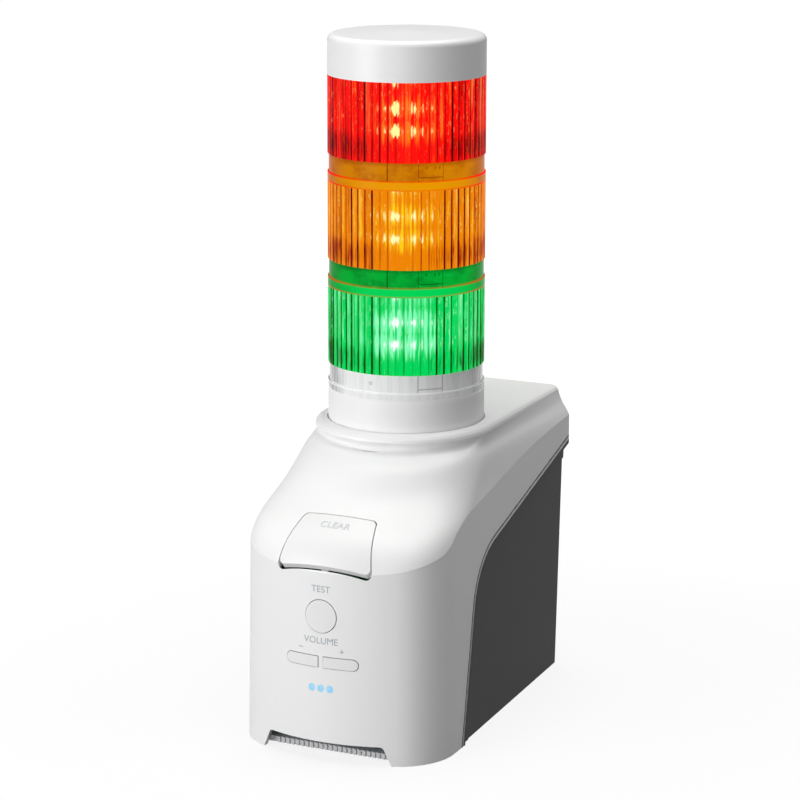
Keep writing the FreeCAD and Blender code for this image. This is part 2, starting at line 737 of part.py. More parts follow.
def make_bottom_cover():
    """The base plate inside the shells' lower edge, with standoffs, bosses and a ribbed front edge."""
    inset = size("wall") + size("base_gap")
    low = size("base_lift")
    top = low + size("base_thickness")
    front = block((-60, -100, 0), (60, -size("split_base"), 10))
    plate = Part.Face(wall_section(low, inset)).extrude(V(0, 0, top - low))
    plate = plate.common(front.fuse(rear_form(inset)))
    plate = plate.cut(block((-60, -100, 0), (60, -size("front_reach") + size("base_recess"), 10)))
    rib_y = -size("front_reach") + size("base_recess")
    half = size("rib_half_width")
    count = int(size("rib_count"))
    for index in range(count):
        x = (index - (count - 1) / 2) * size("rib_pitch")
        plate = plate.fuse(block((x - half, rib_y - half, low), (x + half, rib_y + half, top)))
    for x, y in insert_places():
        plate = plate.fuse(rod(size("boss_radius"), (x, y, low), (x, y, low + size("insert_height"))))
    for x, y in standoff_places():
        plate = plate.fuse(rod(size("standoff_radius"), (x, y, low), (x, y, size("board_lift"))))
    for x, y in insert_places():
        roof = low + size("insert_height") + 1
        plate = plate.cut(rod(size("insert_radius"), (x, y, low - 1), (x, y, roof)))
    tight = size("screw_radius") + size("hole_play")
    for x, y in standoff_places():
        plate = plate.cut(rod(tight, (x, y, low + size("base_lift")), (x, y, size("board_lift") + 1)))
    free = size("screw_radius") + size("free_play")
    for x, y in screw_places():
        plate = plate.cut(rod(free, (x, y, low - 1), (x, y, top + 1)))
    return shaped_piece("bottom_cover", plate)


def screw(place, direction, length):
    """A pan-head screw whose head sits on place and whose shank runs along direction."""
    start = V(*place)
    way = V(*direction)
    top = start - way * size("head_height")
    head = Part.makeCylinder(size("screw_head"), size("head_height"), top, way)
    recess = Part.makeCylinder(size("recess_radius"), size("recess_depth"), top, way)
    shank = Part.makeCylinder(size("screw_radius"), length, start, way)
    return head.cut(recess).fuse(shank)


def make_screws():
    low = size("base_lift")
    base = [screw((x, y, low), (0, 0, 1), size("screw_length")) for x, y in screw_places()]
    shaped_piece("housing_screws", Part.makeCompound(base))
    back = -size("board_front") + size("board_thickness")
    length = size("board_screw_length")
    held = [screw((x, back, z), (0, -1, 0), length) for x, z in board_boss_places()]
    top = size("board_lift") + size("board_thickness")
    held += [screw((x, y, top), (0, 0, -1), length) for x, y in standoff_places()]
    shaped_piece("board_screws", Part.makeCompound(held))


def make_feet():
    feet = []
    places = [("-foot_x", "-foot_y"), ("foot_x", "-foot_y"), ("-rear_foot_x", "rear_foot_y"),
              ("rear_foot_x", "rear_foot_y")]
    for index, (x, y) in enumerate(places):
        foot = part_piece("Cylinder", "foot_%d" % index, (x, y, "0"), Radius="foot_radius",
                          Height="base_lift")
        feet.append(foot)
    return group_piece("rubber_feet", feet)


def make_inserts():
    inserts = []
    for index, (x, y) in enumerate([("-1", "-1"), ("1", "-1"), ("-1", "1"), ("1", "1")]):
        place = (x + " * insert_x", y + " * insert_y", "base_lift")
        outer = part_piece("Cylinder", "insert_wall_%d" % index, place, Radius="insert_radius",
                           Height="insert_height")
        inner = part_piece("Cylinder", "insert_hole_%d" % index, place, Radius="insert_bore",
                           Height="insert_height + 1")
        inserts.append(cut_piece("insert_%d" % index, outer, [inner]))
    return group_piece("bracket_inserts", inserts)


# ---------------------------------------------------------------- electronics

def make_key_board():
    body = new_body("key_board")
    outline = new_sketch(body, "key_board_outline", "XZ_Plane", "board_front - board_thickness")
    add_rectangle(outline, "-key_board_half_width", "key_board_low", "key_board_half_width",
                  "key_board_high")
    for side in ("-", ""):
        add_circle(outline, side + "board_post_x", "board_post_z", "screw_radius + free_play")
    add_feature(body, "Pad", outline, "key_board_plate", "board_thickness")
    return body


def make_main_board():
    body = new_body("main_board")
    outline = new_sketch(body, "main_board_outline", "XY_Plane", "board_lift")
    add_rectangle(outline, "-main_half_width", "main_front", "main_half_width", "main_rear")
    for x in ("-standoff_x", "standoff_x"):
        for y in ("standoff_front", "standoff_rear"):
            add_circle(outline, x, y, "screw_radius + free_play")
    add_feature(body, "Pad", outline, "main_board_plate", "board_thickness")
    return body


def make_tact_switches():
    """A push switch on the board behind each key."""
    switches = []
    half = size("switch_size") / 2
    board = -size("board_front")
    top = board - size("switch_body")
    for x, z in list(key_centres().values()) + [(0, size("clear_switch"))]:
        case = block((x - half, top, z - half), (x + half, board, z + half))
        switches.append(case.fuse(rod(1.75, (x, top, z), (x, top - size("switch_plunger"), z))))
    return shaped_piece("tact_switches", Part.makeCompound(switches))


def make_status_lights():
    z = size("status_height")
    rods = [rod(size("status_radius"), (x, -80, z), (x, -69, z)).common(FORM) for x in status_places()]
    half = size("status_pitch") + 2.2
    bar = block((-half, -69.8, z - 2.2), (half, -69.8 + size("guide_bar"), z + 2.2))
    shaped_piece("status_light_guide", fuse_all([bar] + rods))
    board = -size("board_front")
    lamps = [block((x - 0.8, board - 1.0, z - 0.8), (x + 0.8, board, z + 0.8)) for x in status_places()]
    return shaped_piece("status_leds", Part.makeCompound(lamps))


def make_network_jack():
    foot = "board_lift + board_thickness"
    face = "rear_reach - 0.6"
    case = box_piece("jack_case", ("jack_x - jack_width / 2", face + " - jack_depth", foot),
                     ("jack_x + jack_width / 2", face, foot + " + jack_height"))
    port = box_piece("jack_port", ("jack_x - port_width / 2", face + " - port_depth", foot + " + 2.2"),
                     ("jack_x + port_width / 2", face + " + 1", foot + " + 2.2 + port_height"))
    latch = box_piece("jack_latch", ("jack_x - 3", face + " - port_depth", foot + " + 1"),
                      ("jack_x + 3", face + " + 1", foot + " + 2.3"))
    return cut_piece("network_jack", case, [port, latch])


def make_dc_inlet():
    foot = size("board_lift") + size("board_thickness")
    face = size("rear_reach") - 0.6
    x = size("inlet_x")
    half = size("inlet_width") / 2
    middle = foot + size("inlet_height") / 2
    start = face - size("inlet_depth")
    case = block((x - half, start, foot), (x + half, face, foot + size("inlet_height")))
    bore = rod(size("inlet_radius"), (x, face - 10, middle), (x, face + 1, middle))
    pin = rod(size("inlet_pin"), (x, face - 11, middle), (x, face - 1, middle))
    return shaped_piece("dc_inlet", case.cut(bore).fuse(pin))


def make_terminal_block():
    """A row of push-in terminals: a wire hole under a release tab in each way."""
    foot = size("board_lift") + size("board_thickness")
    face = size("rear_reach") - 0.6
    x = size("terminal_x")
    half = size("terminal_width") / 2
    case = block((x - half, face - size("terminal_depth"), foot),
                 (x + half, face, foot + size("terminal_height")))
    ways = int(size("terminal_ways"))
    pitch = size("terminal_width") / ways
    for index in range(ways):
        way = x - half + (index + 0.5) * pitch
        case = case.cut(rod(0.9, (way, face - 8, foot + 3), (way, face + 1, foot + 3)))
        case = case.cut(block((way - 0.8, face - 1, foot + 6), (way + 0.8, face + 1, foot + 9)))
    return shaped_piece("terminal_block", case)


def make_speaker():
    """A small loudspeaker behind the rear slots: basket, cone and magnet."""
    z = size("speaker_height")
    wall = size("rear_reach") - size("wall")
    back = wall - size("basket_depth")
    outer = size("speaker_radius")
    inner = outer - 1.6
    basket = rod(outer, (0, back, z), (0, wall, z)).cut(rod(inner, (0, back + 1.5, z), (0, wall + 1, z)))
    shaped_piece("speaker_basket", basket)
    deep = size("basket_depth") - 1.5 - 1.0
    front = Part.makeCone(7.0, inner, deep, V(0, back + 1.5, z), V(0, 1, 0))
    hollow = Part.makeCone(7.0, inner, deep, V(0, back + 2.3, z), V(0, 1, 0))
    shaped_piece("speaker_cone", front.cut(hollow))
    magnet = rod(size("magnet_radius"), (0, back - size("magnet_depth"), z), (0, back, z))
    return shaped_piece("speaker_magnet", magnet)


make_head_cap()
make_top_globe("red_globe", 2)
make_globe("amber_globe", 1)
make_globe("green_globe", 0)
make_clear_ring()
make_tower_collar()
make_lamp_mast()
make_mast_socket()
for tier, colour in enumerate(("green", "amber", "red")):
    make_lamps(colour + "_lamps", tier)
make_keys()
make_clear_button()
make_clear_pin()
make_front_housing()
make_rear_housing()
make_bottom_cover()
make_screws()
make_feet()
make_inserts()
make_key_board()
make_main_board()
make_tact_switches()
make_status_lights()
make_network_jack()
make_dc_inlet()
make_terminal_block()
make_speaker()
doc.recompute()

NODES = (
    "head_cap", "red_globe", "amber_globe", "green_globe", "clear_ring", "tower_collar", "lamp_mast",
    "mast_socket", "green_lamps", "amber_lamps", "red_lamps", "front_housing", "rear_housing",
    "bottom_cover", "clear_button", "clear_pin", "test_button", "volume_down_button", "volume_up_button",
    "tact_switches", "key_board", "status_light_guide", "status_leds", "main_board", "network_jack",
    "dc_inlet", "terminal_block", "speaker_basket", "speaker_cone", "speaker_magnet", "housing_screws",
    "board_screws", "rubber_feet", "bracket_inserts",
)

for item in doc.Objects:
    if "Invalid" in item.State or "Error" in item.State:
        raise RuntimeError("object failed: " + item.Name)

os.makedirs("parts", exist_ok=True)
for node in NODES:
    piece = doc.getObjectsByLabel(node)[0]
    shape = piece.Shape
    if shape.isNull() or not shape.isValid() or not shape.Solids:
        raise RuntimeError("bad shape: " + node)
    print(node, "solids", len(shape.Solids), "faces", len(shape.Faces), "volume", round(shape.Volume, 1))
for node in NODES:
    doc.getObjectsByLabel(node)[0].Shape.exportStep("parts/%s.step" % node)
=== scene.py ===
import bpy
import json
import math
import numpy as np
from mathutils import Matrix, Vector


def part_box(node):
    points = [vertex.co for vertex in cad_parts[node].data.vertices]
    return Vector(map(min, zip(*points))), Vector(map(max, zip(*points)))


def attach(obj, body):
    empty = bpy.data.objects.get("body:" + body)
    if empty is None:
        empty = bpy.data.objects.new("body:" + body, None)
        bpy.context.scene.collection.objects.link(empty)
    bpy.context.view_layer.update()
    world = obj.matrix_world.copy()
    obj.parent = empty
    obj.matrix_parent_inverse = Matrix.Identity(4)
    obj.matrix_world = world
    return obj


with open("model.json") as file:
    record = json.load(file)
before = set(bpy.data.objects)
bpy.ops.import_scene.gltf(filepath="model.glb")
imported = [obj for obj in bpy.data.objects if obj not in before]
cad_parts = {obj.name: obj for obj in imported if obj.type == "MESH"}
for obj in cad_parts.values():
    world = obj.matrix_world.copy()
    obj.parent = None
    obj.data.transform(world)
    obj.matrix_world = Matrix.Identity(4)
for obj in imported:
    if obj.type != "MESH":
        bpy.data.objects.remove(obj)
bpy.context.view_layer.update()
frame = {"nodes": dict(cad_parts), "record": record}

nodes = frame["nodes"]

# Heights of the lamp tiers, read from the frame.
TIERS = {name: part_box(name) for name in ("red_globe", "amber_globe", "green_globe", "clear_ring")}
SKIRT = 0.02975          # height of a ribbed skirt
BAND = 0.0034            # plain band on top of a skirt
RIBS = 60                # ribs round a globe
LIT_SIDE = math.radians(-64.5)    # direction that one face of the lamp mast looks in
LATCH_MIDDLE = 0.15      # middle of a latch, as a share of a third of the way round
LATCH_HALF = 0.078       # half a latch's width, in the same measure
LATCH_FOOT = BAND + 0.0016        # height of a latch's lower edge above a skirt
SLIT_PLACE = 0.117       # place of a slit on the latch's other side, in the same measure
TURN_THIRD = 2 * math.pi / 3

# The housing shells' joint, seen from the side.
SPLIT_LEAN = 0.22        # how far it leans back for each unit that it rises
SPLIT_SLOPE = 0.28       # how far its upper part rises for each unit to the rear
SPLIT_RADIUS = 0.030     # round corner between the two parts
SPLIT_FOOT = -0.0375     # place of its foot along Y
SPLIT_HEIGHT = 0.0763    # height of the upper part's line where Y is 0
GAP_EDGE = 0.00035       # where the gap ends and the rim begins, inward from the joint

# Spots of light behind the ribs: rows as (level on the skirt, strength), and columns as
# (angle from the lit side, half width, strength).
LAMP_ROWS = ((0.40, 1.0), (0.685, 1.0), (1.0, 0.45))
LAMP_COLUMNS = ((-0.46, 0.030, 0.42), (-0.37, 0.035, 0.50), (-0.275, 0.035, 0.72), (-0.21, 0.025, 0.50),
                (-0.144, 0.085, 1.8), (-0.05, 0.028, 0.55), (0.015, 0.025, 0.45), (0.085, 0.060, 1.1),
                (0.19, 0.042, 0.75), (0.32, 0.036, 0.60), (0.45, 0.030, 0.38), (0.62, 0.030, 0.36))


# ---------------------------------------------------------------- small tools for node trees

class Tree:
    """Adds nodes to a node tree and joins their sockets."""

    def __init__(self, tree):
        self.tree = tree

    def node(self, kind, **settings):
        made = self.tree.nodes.new(kind)
        for key, value in settings.items():
            setattr(made, key, value)
        return made

    def join(self, source, target):
        self.tree.links.new(source, target)

    def feed(self, socket, value):
        if isinstance(value, bpy.types.NodeSocket):
            self.join(value, socket)
        else:
            socket.default_value = value

    def calc(self, operation, *values):
        made = self.node("ShaderNodeMath", operation=operation)
        for socket, value in zip(made.inputs, values):
            self.feed(socket, value)
        return made.outputs[0]

    def mix(self, share, first, second):
        made = self.node("ShaderNodeMix", data_type="RGBA", blend_type="MIX")
        self.feed(made.inputs[0], share)
        self.feed(made.inputs[6], first)
        self.feed(made.inputs[7], second)
        return made.outputs[2]

    def smooth(self, value, low, high, out_low=0.0, out_high=1.0):
        made = self.node("ShaderNodeMapRange", interpolation_type="SMOOTHSTEP")
        for index, number in enumerate((value, low, high, out_low, out_high)):
            self.feed(made.inputs[index], number)
        return made.outputs[0]

    def noise(self, vector, scale, detail=2.0, rough=0.5):
        made = self.node("ShaderNodeTexNoise")
        self.join(vector, made.inputs["Vector"])
        made.inputs["Scale"].default_value = scale
        made.inputs["Detail"].default_value = detail
        made.inputs["Roughness"].default_value = rough
        return made.outputs[0]

    def noise_line(self, value, scale, detail=2.0):
        made = self.node("ShaderNodeTexNoise", noise_dimensions="1D")
        self.join(value, made.inputs["W"])
        made.inputs["Scale"].default_value = scale
        made.inputs["Detail"].default_value = detail
        return made.outputs[0]

    def combine(self, x, y, z):
        made = self.node("ShaderNodeCombineXYZ")
        for socket, value in zip(made.inputs, (x, y, z)):
            self.feed(socket, value)
        return made.outputs[0]

    def place(self):
        """Object coordinates, in metres."""
        return self.node("ShaderNodeTexCoord").outputs["Object"]

    def split(self, vector):
        made = self.node("ShaderNodeSeparateXYZ")
        self.join(vector, made.inputs[0])
        return made.outputs


def srgb(red, green, blue):
    """A colour given as 0-255 screen values, as linear light."""
    out = []
    for value in (red, green, blue):
        part = value / 255.0
        out.append(part / 12.92 if part <= 0.04045 else ((part + 0.055) / 1.055) ** 2.4)
    return tuple(out) + (1.0,)


def new_group(name, inputs, outputs):
    """An empty node group with named sockets: returns (group, tools, input node, output node)."""
    group = bpy.data.node_groups.new(name, "ShaderNodeTree")
    for label, kind, start in inputs:
        socket = group.interface.new_socket(label, in_out="INPUT", socket_type=kind)
        socket.default_value = start
    for label, kind in outputs:
        group.interface.new_socket(label, in_out="OUTPUT", socket_type=kind)
    return group, Tree(group), group.nodes.new("NodeGroupInput"), group.nodes.new("NodeGroupOutput")


# ---------------------------------------------------------------- shared effects

def make_moulded_group():
    """Moulded plastic: a faint change of tone and gloss, and a fine grain as bump height."""
    group, t, given, out = new_group(
        "moulded_grain",
        [("Colour", "NodeSocketColor", (0.8, 0.8, 0.8, 1)), ("Roughness", "NodeSocketFloat", 0.5),
         ("Tone Change", "NodeSocketFloat", 0.03), ("Grain Scale", "NodeSocketFloat", 2600.0)],
        [("Colour", "NodeSocketColor"), ("Roughness", "NodeSocketFloat"), ("Height", "NodeSocketFloat")])
    place = t.place()
    cloud = t.noise(place, 22.0, 3.0)
    change = t.calc("MULTIPLY", t.calc("SUBTRACT", cloud, 0.5), given.outputs["Tone Change"])
    tone = t.calc("ADD", 1.0, change)
    made = t.node("ShaderNodeVectorMath", operation="SCALE")
    t.join(given.outputs["Colour"], made.inputs[0])
    t.join(tone, made.inputs["Scale"])
    t.join(made.outputs[0], out.inputs["Colour"])
    grain = t.node("ShaderNodeTexNoise")
    t.join(place, grain.inputs["Vector"])
    t.join(given.outputs["Grain Scale"], grain.inputs["Scale"])
    grain.inputs["Detail"].default_value = 2.0
    rough = t.calc("MULTIPLY", t.calc("SUBTRACT", grain.outputs[0], 0.5), 0.12)
    t.join(t.calc("ADD", given.outputs["Roughness"], rough), out.inputs["Roughness"])
    t.join(grain.outputs[0], out.inputs["Height"])
    return group


MOULDED = make_moulded_group()


def make_joint_group():
    """Where the two housing shells meet, seen from the side: an upright line that leans back as it rises,
    a round corner, and a line that climbs to the rear.

    Rim: 1 on a narrow strip just inside the rear shell's edge, where a pale painted highlight stands for
    the light its bevel catches. Gap: 1 on a hair line along the edge itself.
    Bevel: the strip's height, which climbs from 0 at the edge to 1 on the flank.
    """
    group, t, _, out = new_group(
        "shell_joint", [],
        [("Rim", "NodeSocketFloat"), ("Gap", "NodeSocketFloat"), ("Bevel", "NodeSocketFloat")])
    rise = math.atan2(1.0, SPLIT_LEAN)
    climb = math.atan(SPLIT_SLOPE)
    up = np.array([math.cos(rise), math.sin(rise)])
    along = np.array([math.cos(climb), math.sin(climb)])
    foot = np.array([SPLIT_FOOT, 0.0])
    back = np.array([0.0, SPLIT_HEIGHT])
    offset = back - foot
    cross = up[0] * along[1] - up[1] * along[0]
    corner = foot + up * (offset[0] * along[1] - offset[1] * along[0]) / cross
    trim = SPLIT_RADIUS * math.tan((rise - climb) / 2)
    start = corner - up * trim
    end = corner + along * trim
    middle = start + SPLIT_RADIUS * np.array([up[1], -up[0]])
    _, y, z = t.split(t.place())

    def reach(origin, way):
        first = t.calc("MULTIPLY", t.calc("SUBTRACT", y, float(origin[0])), float(way[0]))
        second = t.calc("MULTIPLY", t.calc("SUBTRACT", z, float(origin[1])), float(way[1]))
        return t.calc("ADD", first, second)

    flank = reach(foot, (up[1], -up[0]))
    roof = reach(back, (along[1], -along[0]))
    far_y = t.calc("POWER", t.calc("SUBTRACT", y, float(middle[0])), 2.0)
    far_z = t.calc("POWER", t.calc("SUBTRACT", z, float(middle[1])), 2.0)
    bend = t.calc("SUBTRACT", SPLIT_RADIUS, t.calc("SQRT", t.calc("ADD", far_y, far_z)))
    in_bend = t.calc("MULTIPLY", t.calc("GREATER_THAN", reach(start, up), 0.0),
                     t.calc("LESS_THAN", reach(end, along), 0.0))
    straight = t.calc("MINIMUM", flank, roof)
    inward = t.calc("ADD", t.calc("MULTIPLY", bend, in_bend),
                    t.calc("MULTIPLY", straight, t.calc("SUBTRACT", 1.0, in_bend)))
    # the rim strip, where a pale highlight is painted
    rim_highlight_end = t.smooth(inward, 0.00150, 0.00180, 1.0, 0.0)
    rim = t.calc("MULTIPLY", t.smooth(inward, GAP_EDGE, 0.00050), rim_highlight_end)
    t.join(rim, out.inputs["Rim"])
    gap_end = t.smooth(inward, GAP_EDGE, 0.00050, 1.0, 0.0)
    gap = t.calc("MULTIPLY", t.smooth(inward, -0.00045, -0.00020), gap_end)
    t.join(gap, out.inputs["Gap"])
    climb_share = t.calc("DIVIDE", t.calc("SUBTRACT", inward, GAP_EDGE), 0.0013)
    t.join(t.calc("MINIMUM", t.calc("MAXIMUM", climb_share, 0.0), 1.0), out.inputs["Bevel"])
    return group


JOINT = make_joint_group()


def new_material(name):
    material = bpy.data.materials.new(name)
    material.use_nodes = True
    t = Tree(material.node_tree)
    shader = material.node_tree.nodes["Principled BSDF"]
    return material, t, shader


def add_bump(t, shader, height, strength, distance):
    bump = t.node("ShaderNodeBump")
    bump.inputs["Strength"].default_value = strength
    bump.inputs["Distance"].default_value = distance
    t.join(height, bump.inputs["Height"])
    t.join(bump.outputs[0], shader.inputs["Normal"])


def moulded(name, colour, roughness, tone=0.03, grain=2600.0, bump=0.05, coat=0.0, specular=0.5):
    """A moulded plastic: the shared grain with this plastic's own colour and gloss."""
    material, t, shader = new_material(name)
    group = t.node("ShaderNodeGroup", node_tree=MOULDED)
    group.inputs["Colour"].default_value = colour
    group.inputs["Roughness"].default_value = roughness
    group.inputs["Tone Change"].default_value = tone
    group.inputs["Grain Scale"].default_value = grain
    t.join(group.outputs["Colour"], shader.inputs["Base Color"])
    t.join(group.outputs["Roughness"], shader.inputs["Roughness"])
    add_bump(t, shader, group.outputs["Height"], bump, 0.0002)
    shader.inputs["Coat Weight"].default_value = coat
    shader.inputs["Specular IOR Level"].default_value = specular
    return material


def shell(name, colour, highlight_and_bevel_share, *finish):
    """A housing shell: moulded plastic with the joint's dark gap and a bevelled rim on its edge, painted
    pale as a highlight of the light the bevel catches.
    """
    material = moulded(name, colour, *finish)
    t = Tree(material.node_tree)
    shader = material.node_tree.nodes["Principled BSDF"]
    plain = shader.inputs["Base Color"].links[0].from_socket
    grain = shader.inputs["Normal"].links[0].from_socket
    joint = t.node("ShaderNodeGroup", node_tree=JOINT)
    # painted highlight: the rim strip turns near white, as its bevel would look while catching the light
    marked = t.mix(t.calc("MULTIPLY", joint.outputs["Rim"], highlight_and_bevel_share), plain, srgb(250, 250, 253))
    marked = t.mix(t.calc("MULTIPLY", joint.outputs["Gap"], 0.9), marked, srgb(26, 26, 27))
    t.join(marked, shader.inputs["Base Color"])
    bevel = t.node("ShaderNodeBump")
    bevel.inputs["Strength"].default_value = highlight_and_bevel_share
    bevel.inputs["Distance"].default_value = 0.0022
    t.join(joint.outputs["Bevel"], bevel.inputs["Height"])
    t.join(grain, bevel.inputs["Normal"])
    t.join(bevel.outputs[0], shader.inputs["Normal"])
    return material


def make_scratch_group():
    """Plated or turned metal: fine upright scratches, as a paler tone and a duller gloss."""
    group, t, given, out = new_group(
        "metal_scratches",
        [("Colour", "NodeSocketColor", (0.5, 0.5, 0.5, 1)), ("Roughness", "NodeSocketFloat", 0.3)],
        [("Colour", "NodeSocketColor"), ("Roughness", "NodeSocketFloat")])
    x, y, _ = t.split(t.place())
    streak = t.noise(t.combine(x, y, 0.0), 900.0, 3.0)
    base = t.mix(t.calc("MULTIPLY", streak, 0.35), given.outputs["Colour"], (0.9, 0.9, 0.9, 1))
    t.join(base, out.inputs["Colour"])
    dull = t.calc("ADD", given.outputs["Roughness"], t.calc("MULTIPLY", streak, 0.15))
    t.join(dull, out.inputs["Roughness"])
    return group


SCRATCHES = make_scratch_group()


def metal(name, colour, roughness):
    """A plated or turned metal with the shared scratches."""
    material, t, shader = new_material(name)
    group = t.node("ShaderNodeGroup", node_tree=SCRATCHES)
    group.inputs["Colour"].default_value = colour
    group.inputs["Roughness"].default_value = roughness
    t.join(group.outputs["Colour"], shader.inputs["Base Color"])
    t.join(group.outputs["Roughness"], shader.inputs["Roughness"])
    shader.inputs["Metallic"].default_value = 1.0
    return material


# ---------------------------------------------------------------- lit globes

def make_lens_group():
    """Light through a ribbed globe, as values over its surface.

    Tone: brightness from 0 to 1, rib by rib, with dark valleys that grow towards the sides and the foot.
    Glow: a soft halo round the two rows of lamps, on the two sides that the lamp mast faces.
    Spots: the lamps' own bright points and their repeats in the ribs beside them.
    Glints: fine bright flecks and streaks along the ribs, most of them near the sides.
    """
    group, t, given, out = new_group(
        "ribbed_light",
        [("Skirt Foot", "NodeSocketFloat", 0.0), ("Seed", "NodeSocketFloat", 0.0)],
        [("Tone", "NodeSocketFloat"), ("Glow", "NodeSocketFloat"), ("Spots", "NodeSocketFloat"),
         ("Glints", "NodeSocketFloat")])
    seed = given.outputs["Seed"]
    x, y, z = t.split(t.place())
    angle = t.calc("ARCTAN2", y, x)
    turn = t.calc("ADD", t.calc("MULTIPLY", angle, RIBS / (2 * math.pi)), float(RIBS))
    phase = t.calc("FRACT", turn)
    level = t.calc("DIVIDE", t.calc("SUBTRACT", z, given.outputs["Skirt Foot"]), SKIRT)
    away = t.calc("SUBTRACT", angle, LIT_SIDE)
    aside = t.calc("ABSOLUTE", t.calc("SINE", away))

    def chance(value, shift):
        made = t.node("ShaderNodeTexWhiteNoise", noise_dimensions="2D")
        t.join(t.combine(t.calc("FLOOR", value), t.calc("ADD", seed, shift), 0.0), made.inputs["Vector"])
        return made.outputs["Value"]

    def streaks(across, along, detail):
        spot = t.combine(t.calc("MULTIPLY", turn, across), seed, t.calc("MULTIPLY", level, along))
        return t.smooth(t.noise(spot, 1.0, detail, 0.6), 0.32, 0.68)

    own = chance(turn, 0.0)
    valley_own = chance(t.calc("ADD", turn, 0.5), 7.0)
    third_own = chance(t.calc("MULTIPLY", turn, 3.0), 13.0)
    broad = streaks(0.45, 0.9, 2.0)
    middle = streaks(2.2, 1.5, 3.0)
    fine = streaks(7.0, 5.0, 3.0)
    # tone: streaks whose contrast grows towards the sides
    mixed = t.calc("ADD", t.calc("MULTIPLY", own, 0.22), t.calc("MULTIPLY", third_own, 0.22))
    mixed = t.calc("ADD", mixed, t.calc("MULTIPLY", broad, 0.12))
    mixed = t.calc("ADD", mixed, t.calc("MULTIPLY", middle, 0.28))
    mixed = t.calc("ADD", mixed, t.calc("MULTIPLY", fine, 0.16))
    contrast = t.smooth(aside, 0.15, 0.75, 0.45, 1.25)
    tone = t.calc("ADD", 0.66, t.calc("MULTIPLY", t.calc("SUBTRACT", mixed, 0.5), contrast))
    # valleys: a thin dark line between two ribs, each with its own darkness
    valley = t.calc("ABSOLUTE", t.calc("SUBTRACT", phase, 0.5))
    waver = t.calc("MULTIPLY", t.calc("SUBTRACT", middle, 0.5), 0.07)
    line = t.smooth(t.calc("ADD", valley, waver), 0.33, 0.46)
    strength = t.calc("MULTIPLY", t.smooth(aside, 0.08, 0.6, 0.22, 0.75), t.calc("ADD", 0.3, valley_own))
    tone = t.calc("SUBTRACT", tone, t.calc("MULTIPLY", line, strength))
    twin = t.smooth(t.calc("ABSOLUTE", t.calc("SUBTRACT", phase, 0.28)), 0.02, 0.10, 1.0, 0.0)
    tone = t.calc("SUBTRACT", tone, t.calc("MULTIPLY", twin, t.calc("MULTIPLY", third_own, 0.26)))
    # shade: the foot and the edges of the skirt get less light, the foot of each side the least
    foot_line = t.calc("ADD", 0.36, t.calc("MULTIPLY", t.calc("SUBTRACT", middle, 0.5), 0.12))
    foot = t.smooth(t.calc("SUBTRACT", level, foot_line), -0.13, 0.05, 1.0, 0.0)
    foot_edge = t.smooth(level, 0.0, 0.12, 0.55, 1.0)
    foot = t.calc("MULTIPLY", t.calc("MULTIPLY", foot, foot_edge), t.smooth(aside, 0.05, 0.8, 0.06, 0.28))
    edge = t.smooth(aside, 0.72, 1.0, 0.0, 0.18)
    tone = t.calc("SUBTRACT", tone, t.calc("ADD", foot, edge))
    t.join(tone, out.inputs["Tone"])
    # lamps: two rows, seen through the ribs as columns of broken spots
    ragged = t.calc("MULTIPLY", t.calc("SUBTRACT", fine, 0.5), 0.10)
    ragged = t.calc("ADD", ragged, t.calc("MULTIPLY", t.calc("SUBTRACT", third_own, 0.5), 0.06))
    rows = 0.0
    halo_rows = 0.0
    for row, tall in LAMP_ROWS:
        far = t.calc("ABSOLUTE", t.calc("SUBTRACT", level, row))
        rows = t.calc("MAXIMUM", rows, t.smooth(t.calc("ADD", far, ragged), 0.02, 0.10, tall, 0.0))
        halo_rows = t.calc("MAXIMUM", halo_rows, t.smooth(far, 0.0, 0.30, tall, 0.0))
    column = 0.0
    for offset, width, power in LAMP_COLUMNS:
        near = t.calc("ABSOLUTE", t.calc("SINE", t.calc("SUBTRACT", away, offset)))
        column = t.calc("MAXIMUM", column, t.smooth(near, 0.004, width, power, 0.0))
    broken = t.calc("ADD", 0.45, t.calc("MULTIPLY", fine, 0.9))
    broken = t.calc("MULTIPLY", broken, t.calc("SUBTRACT", 1.0, t.calc("MULTIPLY", line, 0.5)))
    t.join(t.calc("MULTIPLY", t.calc("MULTIPLY", rows, column), broken), out.inputs["Spots"])
    wide = t.calc("SUBTRACT", 1.0, t.smooth(aside, 0.0, 0.74))
    halo = t.calc("MULTIPLY", halo_rows, wide)
    tall_halo = t.calc("MULTIPLY", t.smooth(aside, 0.0, 0.50, 0.35, 0.0), t.smooth(level, 0.1, 0.45))
    halo = t.calc("MAXIMUM", halo, tall_halo)
    uneven = t.calc("ADD", t.calc("MULTIPLY", third_own, 0.55), t.calc("MULTIPLY", middle, 0.75))
    uneven = t.calc("POWER", uneven, 1.6)
    uneven = t.calc("MULTIPLY", uneven, t.calc("SUBTRACT", 1.0, t.calc("MULTIPLY", line, 0.6)))
    glow = t.calc("MULTIPLY", halo, t.calc("ADD", 0.12, t.calc("MULTIPLY", uneven, 1.5)))
    t.join(glow, out.inputs["Glow"])
